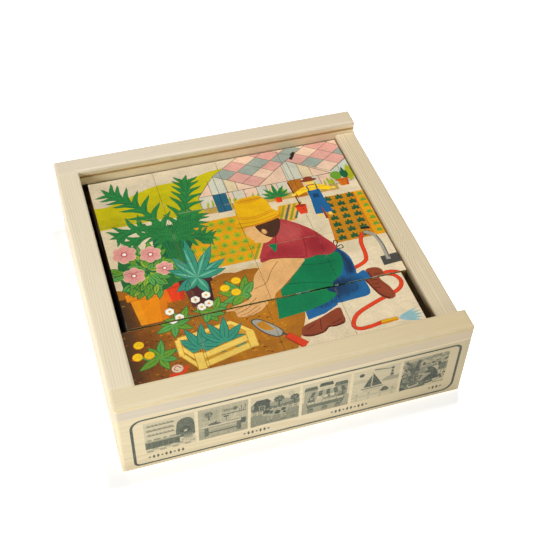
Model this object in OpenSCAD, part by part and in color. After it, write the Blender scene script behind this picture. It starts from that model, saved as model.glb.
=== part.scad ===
// Picture block puzzle: loose wooden blocks in a flat box with one low wall.
//
// The box stands on the plane z = 0, with its centre over the origin. The front board faces -Y.
// The low wall faces +X, and a lid slides in over it along the grooves of the two long boards.
// Row 1 of the blocks is the rear row, and column 1 is the left column.

/* [Blocks] */
// Edge length of a block
block_s = 40; // [30:0.5:60]
// Gap between neighbouring blocks of a row, and between the rear rows
seam = 0.1; // [0.05:0.05:0.4]
// Width of the bevel along a block's edges
block_bevel = 0.3; // [0.2:0.1:1.5]

/* [How the blocks lie] */
// Gap between the rear row and the rear board
rear_gap = 0.9; // [0.1:0.1:1.5]
// Gap between the rear rows and the low wall
right_gap = 0.5; // [0.1:0.1:1]
// Gap between the front row and the left wall, because that row lies to the left of the others
front_row_left_gap = 0.3; // [0.1:0.1:1]
// Gap between the front row and the row behind it
front_row_gap = 1; // [0.1:0.1:1.5]

/* [Box] */
// Room to spare beside and before the blocks
slack = 4.7; // [4:0.1:8]
// Thickness of the boards and walls
side_t = 13.3; // [10:0.1:18]
// Height of the rim above the blocks
rim_h = 10.8; // [10:0.1:16]
// Height of the low wall above the blocks
low_rim_h = 3; // [1:0.1:3.5]
// Radius of the rounded edges
edge_r = 2; // [0.6:0.1:2]

/* [Lid groove] */
// Height of the groove's floor above the blocks
groove_z = 5.4; // [4:0.1:6]
// Height of the groove
groove_h = 1.5; // [1:0.1:2.5]
// Depth of the groove in the board
groove_d = 3; // [2:0.5:6]

/* [Bottom panel] */
// Thickness of the panel
panel_t = 4; // [2:0.5:5]
// Height of the panel above the plane that the box stands on
panel_rise = 0.7; // [0:0.1:1]
// Width of the rebate that the panel lies in
rebate_w = 6; // [4:0.5:8]
// Gap round the panel in its rebate
panel_gap = 0.2; // [0.1:0.1:0.5]

/* [Dowels] */
// Diameter of a dowel
dowel_d = 6; // [4:0.5:7]
// Depth of a dowel's hole in a board
dowel_in_board = 8; // [6:0.5:9]
// Depth of a dowel's hole in the end of a wall
dowel_in_wall = 20; // [12:1:30]
// Space left for glue at each end of a dowel
glue_gap = 0.5; // [0.2:0.1:1]

/* [Hidden] */
$fn = 48;
overcut = 1;
dowel_bevel = 0.6;
blocks_per_side = 4;

row_w = blocks_per_side * block_s + (blocks_per_side - 1) * seam;
inner_w = row_w + slack;
outer_w = inner_w + 2 * side_t;
side_mid = (inner_w + side_t) / 2;

floor_z = panel_rise + panel_t;
block_top = floor_z + block_s;
rim_z = block_top + rim_h;
low_rim_z = block_top + low_rim_h;
dowel_heights = [0.3 * low_rim_z, 0.75 * low_rim_z];

// Main colour of the picture on each block's top, by row and column
block_tints = [
    ["darkseagreen", "yellowgreen", "wheat", "rosybrown"],
    ["palegreen", "seagreen", "khaki", "goldenrod"],
    ["darkorange", "olivedrab", "brown", "steelblue"],
    ["sienna", "peru", "olive", "chocolate"]
];

cells = [for (row = [1:blocks_per_side], col = [1:blocks_per_side]) [row, col]];
function block_name(cell) = str("block_r", cell[0], "_c", cell[1]);

// A rectangle round the origin with rounded corners
module soft_rect(width, height, radius) {
    square([width - 2 * radius, height], center = true);
    square([width, height - 2 * radius], center = true);
    for (x = [-1, 1], y = [-1, 1])
        translate([x * (width / 2 - radius), y * (height / 2 - radius)])
            circle(r = radius);
}

// A square round the origin with its corners cut off at 45 degrees
module bevelled_square(side, bevel) {
    far = side / 2;
    near = far - bevel;
    polygon([
        [-near, -far], [near, -far], [far, -near], [far, near],
        [near, far], [-near, far], [-far, near], [-far, -near]
    ]);
}

// Stands a flat shape up and extrudes it along X, with its own x along Y and its own y along Z
module along_x(length) {
    rotate([90, 0, 90])
        linear_extrude(length, center = true)
            children();
}

// Stands a flat shape up and extrudes it along Y, with its own x along X and its own y along Z
module along_y(length) {
    rotate([90, 0, 0])
        linear_extrude(length, center = true)
            children();
}

// The outside of the whole box, with all its edges rounded
module envelope() {
    translate([0, 0, rim_z / 2])
        intersection() {
            along_x(outer_w) soft_rect(outer_w, rim_z, edge_r);
            along_y(outer_w) soft_rect(outer_w, rim_z, edge_r);
            linear_extrude(rim_z, center = true) soft_rect(outer_w, outer_w, edge_r);
        }
}

// Half of the mouth's section, from the middle out to one side, with the edge flared for rounding
module flared_half() {
    square([inner_w / 2, rim_z + overcut]);
    difference() {
        translate([0, rim_z - edge_r])
            square([inner_w / 2 + edge_r, edge_r + overcut]);
        translate([inner_w / 2 + edge_r, rim_z - edge_r])
            circle(r = edge_r);
    }
}

// The hollow between the sides, open to the right above the low wall
module mouth() {
    intersection() {
        along_x(outer_w + 2 * overcut) {
            flared_half();
            mirror([1, 0]) flared_half();
        }
        along_y(outer_w + 2 * overcut) {
            mirror([1, 0]) flared_half();
            square([outer_w / 2 + overcut, rim_z + overcut]);
        }
    }
}

// The space that the bottom panel's rebate takes out of the sides
module rebate() {
    side = inner_w + 2 * rebate_w;
    translate([-side / 2, -side / 2, -overcut])
        cube([side, side, floor_z + overcut]);
}

// The lid's groove in the front board, stopped at the left wall and open at the right
module lid_groove() {
    translate([-inner_w / 2, -inner_w / 2 - groove_d, block_top + groove_z])
        cube([inner_w / 2 + outer_w / 2 + overcut, groove_d + overcut, groove_h]);
}

// What rounding takes off the front board's inner corner at its right end, above the low wall
module end_rounding() {
    translate([outer_w / 2 - edge_r, -inner_w / 2 - edge_r, low_rim_z])
        linear_extrude(rim_h + overcut)
            difference() {
                square(edge_r + overcut);
                circle(r = edge_r);
            }
}

// Cylinders on the dowels' axes at the front corners, from y0 to y1
module corner_holes(y0, y1) {
    for (x = [-side_mid, side_mid], z = dowel_heights)
        translate([x, y0, z])
            rotate([-90, 0, 0])
                cylinder(h = y1 - y0, d = dowel_d);
}

// A dowel along +Y from the origin, with bevelled ends
module dowel(length) {
    radius = dowel_d / 2;
    rotate([-90, 0, 0])
        rotate_extrude()
            polygon([
                [0, 0], [radius - dowel_bevel, 0], [radius, dowel_bevel],
                [radius, length - dowel_bevel], [radius - dowel_bevel, length], [0, length]
            ]);
}

// One of the two long boards, in its place at the front, with its lid groove
module board() {
    difference() {
        intersection() {
            translate([-outer_w / 2, -outer_w / 2, 0])
                cube([outer_w, side_t, rim_z]);
            envelope();
        }
        mouth();
        rebate();
        lid_groove();
        end_rounding();
        corner_holes(-inner_w / 2 - dowel_in_board, -inner_w / 2 + overcut);
    }
}

// A side wall of a given height in its place at the right, between the two boards
module wall(height) {
    difference() {
        translate([side_mid, 0, height / 2])
            along_y(inner_w)
                soft_rect(side_t, height, edge_r);
        rebate();
        for (side = [0, 1])
            mirror([0, side, 0])
                corner_holes(-inner_w / 2 - overcut, -inner_w / 2 + dowel_in_wall);
    }
}

module front_board() {
    color("blanchedalmond") board();
}

module rear_board() {
    color("blanchedalmond") mirror([0, 1, 0]) board();
}

module left_wall() {
    color("antiquewhite") mirror([1, 0, 0]) wall(rim_z);
}

module right_wall() {
    color("wheat") wall(low_rim_z);
}

module bottom_panel() {
    side = inner_w + 2 * (rebate_w - panel_gap);
    color("tan")
        translate([-side / 2, -side / 2, panel_rise])
            cube([side, side, panel_t]);
}

module corner_dowels() {
    length = dowel_in_board + dowel_in_wall - 2 * glue_gap;
    color("peru")
        for (side = [0, 1])
            mirror([0, side, 0])
                for (x = [-side_mid, side_mid], z = dowel_heights)
                    translate([x, -inner_w / 2 - dowel_in_board + glue_gap, z])
                        dowel(length);
}

// A block with its low left front corner at the origin, bevelled along all its edges
module block() {
    translate([block_s / 2, block_s / 2, block_s / 2])
        intersection() {
            along_x(block_s) bevelled_square(block_s, block_bevel);
            along_y(block_s) bevelled_square(block_s, block_bevel);
            linear_extrude(block_s, center = true) bevelled_square(block_s, block_bevel);
        }
}

// The block of a cell in its place, with the front row moved to the left and to the front
module block_at(cell) {
    is_front = cell[0] == blocks_per_side;
    pitch = block_s + seam;
    row_x = is_front ? -inner_w / 2 + front_row_left_gap : inner_w / 2 - right_gap - row_w;
    row_y = inner_w / 2 - rear_gap - block_s - (cell[0] - 1) * pitch;
    moved_y = is_front ? front_row_gap - seam : 0;
    color(block_tints[cell[0] - 1][cell[1] - 1])
        translate([row_x + (cell[1] - 1) * pitch, row_y - moved_y, floor_z])
            block();
}

front_board();
rear_board();
left_wall();
right_wall();
bottom_panel();
corner_dowels();
for (cell = cells)
    block_at(cell);
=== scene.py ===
"""Looks of the picture block puzzle: sixteen printed wooden cubes in a spruce box.

Every picture is drawn here in vector form, cut into sixteen tiles, and laid on the cubes' faces as
coloured mesh regions. The boards keep their CAD shape and get a solid wood material.
"""
import math
import random

import bpy
import numpy as np
from mathutils import Matrix, Vector
from mathutils.geometry import delaunay_2d_cdt


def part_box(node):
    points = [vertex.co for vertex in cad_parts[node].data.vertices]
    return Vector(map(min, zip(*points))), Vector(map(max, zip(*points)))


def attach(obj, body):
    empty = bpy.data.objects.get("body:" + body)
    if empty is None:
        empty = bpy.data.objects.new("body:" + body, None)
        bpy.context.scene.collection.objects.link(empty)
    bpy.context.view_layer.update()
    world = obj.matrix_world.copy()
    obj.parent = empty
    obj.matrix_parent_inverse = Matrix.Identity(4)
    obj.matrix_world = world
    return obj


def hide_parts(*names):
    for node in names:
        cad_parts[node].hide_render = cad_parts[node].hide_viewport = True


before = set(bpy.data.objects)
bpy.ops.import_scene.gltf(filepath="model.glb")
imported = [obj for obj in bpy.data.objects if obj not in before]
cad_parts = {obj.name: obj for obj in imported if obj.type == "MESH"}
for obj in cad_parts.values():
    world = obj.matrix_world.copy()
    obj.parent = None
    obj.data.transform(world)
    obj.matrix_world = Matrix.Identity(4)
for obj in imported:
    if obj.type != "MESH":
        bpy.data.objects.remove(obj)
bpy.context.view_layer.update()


# The drawing tools.
# A picture is a square, 160 mm a side, drawn in millimetres from its lower left corner.
PICTURE = 160
TILES = 4
TILE = PICTURE / TILES

# Print colours, 0 to 255 in each of red, green and blue
INKS = {
    "paper": (222, 203, 166), "sky": (224, 205, 169), "ground": (217, 199, 162), "line": (116, 102, 82),
    "black": (34, 30, 28), "white": (246, 240, 224), "hill": (192, 179, 8), "hill_dark": (174, 165, 6),
    "palm": (42, 126, 58), "palm_light": (92, 156, 72), "palm_dark": (26, 92, 54), "leaf": (104, 152, 44),
    "leaf_dark": (38, 104, 50), "leaf_light": (146, 172, 52), "agave": (56, 142, 112),
    "agave_light": (104, 176, 144), "agave_dark": (24, 96, 88), "pink": (222, 156, 142),
    "rose": (190, 82, 84), "pot": (232, 136, 8), "pot_light": (242, 156, 24), "pot_dark": (204, 104, 12),
    "red": (220, 62, 22), "red_dark": (172, 40, 22), "plum": (80, 36, 34), "plum_light": (112, 60, 46),
    "soil": (158, 96, 20), "soil_dark": (104, 56, 22), "soil_light": (190, 120, 16), "bed": (222, 154, 10),
    "bed_dark": (192, 126, 12), "tuft": (168, 170, 24), "tuft_dark": (34, 84, 46), "hat": (224, 170, 6),
    "hat_dark": (204, 128, 10), "shirt": (172, 54, 56), "shirt_dark": (140, 28, 38),
    "shirt_light": (192, 96, 88), "apron": (4, 120, 70), "apron_dark": (0, 92, 58), "blue": (28, 94, 144),
    "navy": (20, 42, 70), "teal": (36, 92, 112), "sky_blue": (150, 186, 192), "skin": (224, 172, 108),
    "skin_dark": (176, 116, 66), "boot": (138, 62, 34), "boot_dark": (88, 34, 20), "metal": (160, 154, 138),
    "metal_dark": (72, 70, 64), "crate": (238, 200, 92), "crate_dark": (198, 148, 42),
    "glass_pink": (216, 158, 142), "glass_rose": (226, 190, 160), "glass_grey": (150, 160, 146),
    "glass_pale": (214, 196, 152), "glass_blue": (192, 198, 178), "olive": (184, 152, 68),
    "door": (178, 106, 20), "hair": (74, 44, 26), "yellow": (244, 198, 22), "stone": (186, 174, 152),
    "roof": (184, 82, 44), "sea": (44, 112, 142), "bread": (212, 144, 60), "bread_dark": (166, 96, 34),
    "cow": (118, 62, 36), "night": (26, 38, 62), "deep": (16, 44, 64), "moon": (240, 228, 180),
}


def curve_through(points, closed=False, steps=5):
    """A smooth Catmull-Rom curve through the points."""
    count = len(points)
    pick = (lambda i: points[i % count]) if closed else (lambda i: points[min(max(i, 0), count - 1)])
    out = []
    for i in range(count if closed else count - 1):
        corners = [pick(i + k) for k in (-1, 0, 1, 2)]
        for s in range(steps):
            t = s / steps
            out.append(tuple(
                0.5 * (2 * b + (c - a) * t + (2 * a - 5 * b + 4 * c - d) * t * t
                       + (3 * b - a - 3 * c + d) * t ** 3)
                for a, b, c, d in zip(*corners)
            ))
    return out if closed else out + [points[-1]]


def polar(x, y, angle, distance):
    """The point at a distance from (x, y), at an angle in degrees from the x axis."""
    return x + distance * math.cos(math.radians(angle)), y + distance * math.sin(math.radians(angle))


class Drawing:
    """Layered flat shapes, the bottom one first: each is an outline, an ink and how opaque it is."""

    def __init__(self, ground):
        self.shapes = []
        self.fill([(-1, -1), (PICTURE + 1, -1), (PICTURE + 1, PICTURE + 1), (-1, PICTURE + 1)], ground)

    def fill(self, outline, ink, strength=1.0):
        self.shapes.append((list(outline), ink, strength))

    def shade(self, outline, ink, strength, steps=4):
        """A patch with a soft edge: nested copies of a rounded outline, which share out the strength."""
        cx, cy = (sum(point[axis] for point in outline) / len(outline) for axis in (0, 1))
        for i in range(steps):
            size = 1.12 - 0.16 * i
            self.blob([(cx + size * (x - cx), cy + size * (y - cy)) for x, y in outline], ink,
                      strength / steps * 1.3)

    def box(self, x0, y0, x1, y1, ink, strength=1.0):
        self.fill([(x0, y0), (x1, y0), (x1, y1), (x0, y1)], ink, strength)

    def blob(self, points, ink, strength=1.0, steps=5):
        self.fill(curve_through(points, True, steps), ink, strength)

    def oval(self, x, y, rx, ry, ink, turn=0.0, steps=14, strength=1.0):
        c, s = math.cos(math.radians(turn)), math.sin(math.radians(turn))
        ring = [(rx * math.cos(a), ry * math.sin(a)) for a in (math.tau * i / steps for i in range(steps))]
        self.fill([(x + u * c - v * s, y + u * s + v * c) for u, v in ring], ink, strength)

    def ribbon(self, points, start, end, ink, strength=1.0, smooth=True, steps=5):
        """A stroke along the points whose width goes evenly from start to end."""
        path = curve_through(points, False, steps) if smooth else list(points)
        last = len(path) - 1
        left, right = [], []
        for i, (x, y) in enumerate(path):
            ax, ay = path[max(i - 1, 0)]
            bx, by = path[min(i + 1, last)]
            size = math.hypot(bx - ax, by - ay) or 1.0
            half = 0.5 * (start + (end - start) * i / last)
            left.append((x - half * (by - ay) / size, y + half * (bx - ax) / size))
            right.append((x + half * (by - ay) / size, y - half * (bx - ax) / size))
        self.fill(left + right[::-1], ink, strength)

    def lines(self, runs, ink="line", width=0.35):
        for run in runs:
            self.ribbon(run, width, width, ink, smooth=False)

    def curves(self, runs, ink, width):
        for run in runs:
            self.ribbon(run, width, width, ink)

    def leaf(self, x, y, angle, length, width, ink, bend=0.0, vein=None, steps=6):
        """A pointed leaf from its foot (x, y); its tip turns by bend degrees."""
        left, right, middle = [], [], []
        for i in range(steps + 1):
            t = i / steps
            mx, my = polar(x, y, angle + bend * t * 0.5, length * t)
            half = 0.5 * width * math.sin(math.pi * t ** 0.8)
            left.append(polar(mx, my, angle + bend * t + 90, half))
            right.append(polar(mx, my, angle + bend * t - 90, half))
            middle.append((mx, my))
        self.fill(left[:-1] + [middle[-1]] + right[1:-1][::-1], ink)
        if vein:
            self.ribbon([middle[1], middle[steps // 2], middle[-2]], 0.5, 0.25, vein, 0.8, smooth=False)

    def fan(self, x, y, angles, length, width, ink, vein=None, bend=0.0, steps=6):
        """Leaves from one foot; the ones near the middle of the list are the longest."""
        middle = (len(angles) - 1) / 2
        for i, angle in enumerate(angles):
            share = 1 - 0.3 * abs(i - middle) / max(middle, 1)
            self.leaf(x, y, angle, length * share, width, ink, bend * (i - middle), vein, steps)

    def lobe(self, x, y, angle, length, width, ink, rim, sway, steps=7):
        """A rimmed leaflet with a narrow foot, a pointed tip and a wavy middle that sways by some mm."""
        for tone, more in ((rim, 0.3), (ink, 0.0)):
            left, right = [], []
            for i in range(steps):
                t = i / steps
                mx, my = polar(*polar(x, y, angle, length * t), angle + 90, sway * math.sin(4.2 * t))
                half = 0.5 * width * min(1.0, 0.6 + 1.4 * t) * (1 - t ** 2.4) + more
                left.append(polar(mx, my, angle + 90, half))
                right.append(polar(mx, my, angle - 90, half))
            tip = polar(*polar(x, y, angle, length + 2 * more), angle + 90, sway * math.sin(4.2))
            self.fill(left + [tip] + right[::-1], tone)

    def frond(self, points, leaflets, length, width, ink, vein):
        """A palm frond: curved lobes on both sides of a broad stem, shorter towards its tip."""
        path = curve_through(points, False, 8)
        last = len(path) - 1
        self.ribbon(points, width * 1.7, width * 0.5, ink)
        for i in range(leaflets):
            t = (i + 0.7) / leaflets
            (ax, ay), (bx, by) = path[int(t * last) - 1], path[int(t * last)]
            heading = math.degrees(math.atan2(by - ay, bx - ax))
            reach = length * (1.2 - 0.35 * t) * min(1.0, 0.6 + 1.6 * t)
            for side in (-1, 1):
                spread = side * (48 - 16 * t)
                self.lobe(bx, by, heading + spread, reach, width, ink, vein, -1.3 * side)
                self.ribbon([(bx, by), polar(bx, by, heading + spread - side * 5, reach * 0.75)], 0.6, 0.2,
                            vein, 0.8)
        self.lobe(*path[-1], heading, length * 0.7, width, ink, vein, 0.6)

    def pencil(self, outline, angle, ink, seed, strength=0.4, pitch=0.8, width=0.45):
        """Pencil strokes side by side across a rounded area, at an angle and with uneven ends."""
        draw = random.Random(seed)
        c, s = math.cos(math.radians(angle)), math.sin(math.radians(angle))
        turned = [(x * c + y * s, y * c - x * s) for x, y in curve_through(outline, True, 4)]
        edges = list(zip(turned, turned[1:] + turned[:1]))
        level, highest = min(v for _, v in turned), max(v for _, v in turned)
        while level < highest:
            level += pitch * draw.uniform(0.6, 1.4)
            cuts = sorted(u0 + (level - v0) * (u1 - u0) / (v1 - v0) for (u0, v0), (u1, v1) in edges
                          if (v0 > level) != (v1 > level))
            for start, end in zip(cuts[::2], cuts[1::2]):
                ends = (start + (end - start) * draw.uniform(0, 0.25),
                        end - (end - start) * draw.uniform(0, 0.25))
                self.ribbon([(u * c - level * s, u * s + level * c) for u in ends], width, width * 0.7, ink,
                            strength, False)

    def rimmed_leaf(self, x, y, angle, length, width, ink, rim, vein=None, steps=5):
        """A leaf with a thin rim round it."""
        self.leaf(x, y, angle, length + 0.8, width + 0.9, rim, steps=steps)
        self.leaf(x, y, angle, length, width, ink, vein=vein, steps=steps)

    def rosette(self, x, y, leaves, width, inks, rim):
        """Rimmed leaves from one foot, given as (angle, length), with the two inks by turns."""
        for i, (angle, length) in enumerate(leaves):
            self.rimmed_leaf(x, y, angle, length, width, inks[i % 2], rim, rim)

    def flower(self, x, y, radius, ink, heart=None, petals=5, steps=20, strength=1.0):
        """Round petals about a heart, which has the petals' ink if no other is given."""
        swell = [0.8 + 0.2 * abs(math.cos(petals * math.pi * i / steps)) for i in range(steps)]
        ring = [polar(x, y, 360 * i / steps + 20, radius * size) for i, size in enumerate(swell)]
        self.fill(ring, ink, strength)
        self.oval(x, y, radius * 0.3, radius * 0.3, heart or ink, steps=8, strength=strength)

    def pot(self, x, y, width, height, ink, light, dark):
        """A flower pot standing on (x, y), with a rim and a shaded side."""
        foot, rim = width * 0.36, height * 0.22
        self.fill([(x - foot, y), (x + foot, y), (x + width / 2, y + height), (x - width / 2, y + height)],
                  ink)
        self.fill([(x - foot, y), (x - foot * 0.5, y), (x - width * 0.28, y + height),
                   (x - width / 2, y + height)], light, 0.6)
        self.fill([(x + foot * 0.5, y), (x + foot, y), (x + width / 2, y + height),
                   (x + width * 0.3, y + height)], dark, 0.5)
        self.box(x - width * 0.56, y + height - rim, x + width * 0.56, y + height, ink)
        self.lines([[(x - width * 0.54, y + height - rim), (x + width * 0.54, y + height - rim)]], dark, 0.4)

    def panes(self, corner, along, up, columns, rows, inks):
        """A leaning grid of window panes; along and up are its two sides as (x, y) steps."""
        def at(i, j):
            s, t = i / columns, j / rows
            return corner[0] + along[0] * s + up[0] * t, corner[1] + along[1] * s + up[1] * t
        for i in range(columns):
            for j in range(rows):
                self.fill([at(i, j), at(i + 1, j), at(i + 1, j + 1), at(i, j + 1)],
                          inks[(i + 2 * j) % len(inks)])
        self.lines([[at(i, 0), at(i, rows)] for i in range(columns + 1)])
        self.lines([[at(0, j), at(columns, j)] for j in range(rows + 1)])


def garden():
    """The picture on top: a nursery garden with a glasshouse, beds, potted plants and a gardener."""
    d = Drawing("sky")
    # hills behind, and the pale ground
    # painted shade: a soft darker patch over the pale sky at the upper left
    d.shade([(-20, 180), (-20, 122), (40, 122), (92, 146), (96, 180)], "stone", 0.4)
    d.blob([(-8, 96), (-8, 134), (8, 137), (22, 142), (38, 147.5), (52, 148), (64, 149), (76, 152),
            (96, 151.6), (110, 140), (100, 96)], "hill")
    d.blob([(-8, 116), (-6, 126), (14, 128), (34, 138), (52, 140), (60, 130), (56, 112)], "hill_dark", 0.5)
    d.fill([(-1, 62), (161, 62), (161, 114), (60, 114), (40, 118), (-1, 118)], "ground")
    glasshouse(d)
    # beds
    d.fill([(50, 109), (84, 109), (84, 71), (44, 71)], "bed")
    for row in range(6):
        for column in range(7):
            x, y = 48 + 6.2 * column + 3 * (row % 2), 74.6 + 6.2 * row
            if x < 85:
                d.flower(x, y, 2.6, "tuft", "leaf_light", 5, 15)
                d.fan(x, y - 1, [40, 90, 140], 2.4, 1.0, "leaf", steps=3)
    d.fill([(78, 71), (91, 71), (98, 84), (84, 84)], "bed")
    d.fill([(101, 96), (113, 96), (121, 110), (106, 110)], "bed")
    for i in range(4):
        ink = "teal" if i % 2 else "leaf"
        d.ribbon([(80 + 3.2 * i, 71.5), (87 + 3.2 * i, 84)], 1.3, 1.1, ink, 0.8)
        d.ribbon([(103.4 + 3.2 * i, 97), (109.6 + 3.4 * i, 109.6)], 1.3, 1.1, ink, 0.8)
        d.ribbon([(81.8 + 3.2 * i, 71.5), (88.8 + 3.2 * i, 84)], 0.7, 0.6, "paper", 0.6)
        d.ribbon([(105 + 3.2 * i, 97), (111.2 + 3.4 * i, 109.6)], 0.7, 0.6, "paper", 0.6)
    d.fill([(134, 110), (163, 110), (163, 71), (129, 71)], "bed_dark")
    d.fill([(153.6, 110), (163, 110), (163, 71), (153, 71)], "bed", 0.8)
    for row in range(7):
        for column in range(3):
            d.fan(134 + 7.4 * column + 0.4 * row, 73 + 5.6 * row, [8, 48, 90, 132, 172], 4.2, 1.9,
                  "tuft_dark", steps=4)
        d.fan(157.4, 74 + 5.4 * row, [20, 70, 110, 160], 3.2, 1.6, "leaf", steps=4)
    d.lines([[(129, 71), (134, 110)], [(153, 71), (153.6, 110)]], "pot_dark", 0.6)
    # tubs by the glasshouse
    d.pot(108, 113, 5, 5.4, "red", "pot", "red_dark")
    d.fan(108, 118, [5, 30, 55, 90, 125, 150, 175], 12.5, 2.6, "palm", "palm_dark")
    d.pot(151.6, 117, 7.6, 6.6, "pot_dark", "pot", "red_dark")
    d.oval(149, 127, 3.7, 3.9, "leaf")
    d.fan(154.4, 123, [75, 90, 105], 11, 3, "palm_dark")
    # red pail with a fork in it
    d.lines([[(119.4, 104), (118, 129)]], "boot_dark", 0.8)
    d.fill([(117, 99.6), (121.4, 99.6), (122.6, 107), (115.6, 107)], "red")
    d.oval(119.1, 107, 3.5, 0.9, "red_dark")
    scarecrow(d, 131, 92)
    # stand pipe, hose and nozzle
    d.fill([(149, 46.6), (162, 47.4), (162, 54.6), (149.4, 53.8)], "metal_dark")
    d.ribbon([(153.4, 50.6), (154, 62), (152.6, 71), (147.6, 75.4)], 2.6, 2.4, "metal")
    d.lines([[(154.4, 52), (154.8, 62), (153.6, 71)]], "metal_dark", 0.5)
    d.ribbon([(147, 78.6), (152.4, 77.8)], 1.7, 1.7, "black")
    for turn in ([(146.4, 74.8), (143, 68), (142, 58), (139.6, 52.6), (131, 49)],
                 [(140, 38), (148, 41.4), (155, 39.4), (157.4, 33.6), (153, 28), (138, 23), (125.4, 17.6),
                  (120.6, 11), (122.6, 7.6), (129, 7.4), (136, 8.6)]):
        d.ribbon(turn, 2.5, 2.5, "red_dark")
        d.ribbon(turn, 1.9, 1.9, "red")
    d.ribbon([(135.6, 8.4), (141, 8.6), (145.4, 8.8)], 3.3, 2.4, "hat_dark")
    d.ribbon([(136, 8.8), (145, 9.2)], 1.4, 1.0, "hat", smooth=False)
    for i in range(5):
        d.leaf(145.6, 8.6, -20 + 10 * i, 15 - abs(i - 2), 2.2, "sky_blue", 0, "agave_light")
    soil(d)
    # palm
    d.blob([(30, 62), (30, 84), (27, 96), (30, 108), (40, 112), (50, 106), (50, 96), (45, 84), (44, 64)],
           "palm_dark")
    for i in range(7):
        d.ribbon([(33 + 2 * i, 66), (34 + 1.6 * i, 88), (30 + 3.2 * i, 108)], 1.8, 1.2, "palm", 0.7)
    for tip, middle, length in (((57, 97), (51, 99), 10), ((54, 113), (49, 107), 13),
                                ((13, 112), (24, 113), 13), ((16, 104), (28, 107), 11),
                                ((57, 143), (52, 125), 14), ((14, 145), (27, 129), 15)):
        d.frond([(40, 100), middle, tip], 8 if length > 13 else 6, length, 3.3, "palm", "palm_dark")
    d.pencil([(29, 68), (32, 106), (40, 112), (50, 104), (47, 68)], 98, "palm_dark", 41, 0.4, 1.3)
    # shrub with pink flowers, in its pot
    d.pot(15.6, 41, 21, 23.4, "pot", "pot_light", "pot_dark")
    d.pot(30, 53, 13.4, 13, "red", "pot", "red_dark")
    leaves = random.Random(5)
    d.blob([(4, 70), (5, 90), (14, 97), (26, 94), (34, 82), (32, 66), (20, 62), (8, 64)], "leaf_dark")
    for i in range(120):
        angle = leaves.uniform(0, 360)
        x, y = polar(20, 78.6, angle, leaves.uniform(1, 15.5))
        d.rimmed_leaf(x, y, angle + leaves.uniform(-35, 35), leaves.uniform(5.5, 9), 3.2,
                      ("leaf", "leaf_light", "palm_light")[i % 3], "leaf_dark", "leaf_dark", 4)
    for x, y, radius in ((9.6, 95.4, 7), (24, 91.6, 6.2), (11.6, 77.6, 6.2), (29.4, 79, 5)):
        d.flower(x, y, radius + 0.4, "glass_rose", "rose", 6, 36)
        d.flower(x, y, radius, "pink", "rose", 6, 36)
        d.pencil([polar(x, y, 60 * i, radius * 0.8) for i in range(6)], 35, "rose", int(x), 0.2, 0.9)
        for petal in range(6):
            d.ribbon([polar(x, y, 50 + 60 * petal, radius * r) for r in (0.3, 0.7)], 0.4, 0.2, "rose", 0.5,
                     False)
        d.oval(x, y, radius * 0.26, radius * 0.26, "rose", steps=10)
        d.oval(x, y, radius * 0.17, radius * 0.17, "white", steps=8)
    # agave in a plum pot
    d.pot(43.6, 46, 16.6, 21, "plum", "plum_light", "black")
    for angle, length in ((146, 17), (28, 21), (-150, 15), (8, 17), (118, 21), (58, 26), (90, 31), (-76, 14),
                          (-136, 12)):
        d.rimmed_leaf(45, 67, angle, length, 5.6, "agave", "agave_dark", "agave_dark")
        d.leaf(45, 67, angle + 5, length * 0.8, 1.4, "agave_light")
    gardener(d)
    # small plants on the soil
    d.rosette(29, 38, ((-100, 9), (-30, 10), (10, 9), (60, 11), (110, 7), (160, 9), (200, 11)), 3.8,
              ("palm_light", "leaf"), "leaf_dark")
    d.rosette(48, 41, ((-60, 8), (-110, 7), (170, 11), (20, 10), (60, 10), (-20, 9)), 4.0,
              ("leaf", "palm_light"), "leaf_dark")
    d.rosette(66, 46.6, ((118, 15), (70, 15), (48, 12), (154, 14), (190, 12), (214, 9), (-20, 4)), 4.8,
              ("palm_light", "leaf"), "leaf_dark")
    d.rosette(16.6, 18, ((-70, 9), (-20, 9), (20, 10), (75, 12), (120, 9), (165, 10), (-155, 13)), 4.0,
              ("leaf", "palm_light"), "leaf_dark")
    for x, y in ((24.6, 46.4), (28.8, 41), (40, 51), (46.4, 52.8), (42, 45), (46.4, 46.4)):
        d.flower(x, y, 2.9, "line", None, 6, 18)
        d.flower(x, y, 2.6, "white", "hat", 6, 18)
    for x, y in ((65, 58.4), (57.6, 54.6), (62.8, 50.2), (7.6, 29), (5.4, 21.4), (11.6, 21)):
        d.oval(x, y, 2.9, 2.7, "hat_dark")
        d.oval(x + 0.1, y + 0.2, 2.6, 2.4, "yellow")
        d.lines([[(x - 1.4, y - 0.4), (x + 0.2, y + 0.6), (x + 1.4, y - 0.6)]], "hat", 0.5)
    seedling_crate(d)
    # trowel
    d.blob([(68.6, 29), (72.6, 29.4), (78, 25), (83, 18.6), (82.4, 15), (78.6, 14.6), (73, 19), (69.4, 25)],
           "metal_dark")
    d.blob([(69.2, 28.4), (72.4, 28.8), (77.6, 24.6), (82.4, 18.4), (81.8, 15.6), (78.8, 15.2), (73.6, 19.4),
            (70, 25.2)], "metal")
    d.blob([(71, 26), (75, 27), (77, 23.6), (79, 20), (74.6, 20.6), (72, 23)], "soil_light", 0.9)
    d.ribbon([(82.4, 16.6), (85, 13.6)], 1.4, 1.4, "metal_dark", smooth=False)
    d.ribbon([(84.2, 14.4), (87.6, 10.4), (92, 5)], 4.2, 5.2, "red_dark")
    d.ribbon([(84.6, 14.2), (88, 10.4), (92, 5.4)], 3.2, 4.2, "red")
    # snail
    d.ribbon([(18.6, 5), (22, 5), (27, 6.4), (29, 9.6)], 2.6, 1.4, "red")
    d.oval(23.6, 8.6, 3.4, 2.9, "rose", steps=12)
    d.oval(23.6, 8.7, 3.0, 2.5, "paper", steps=12)
    d.ribbon([(25.6, 8.4), (23.6, 10.4), (21.8, 8.6), (23.8, 7.4)], 0.6, 0.4, "rose")
    return d


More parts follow.
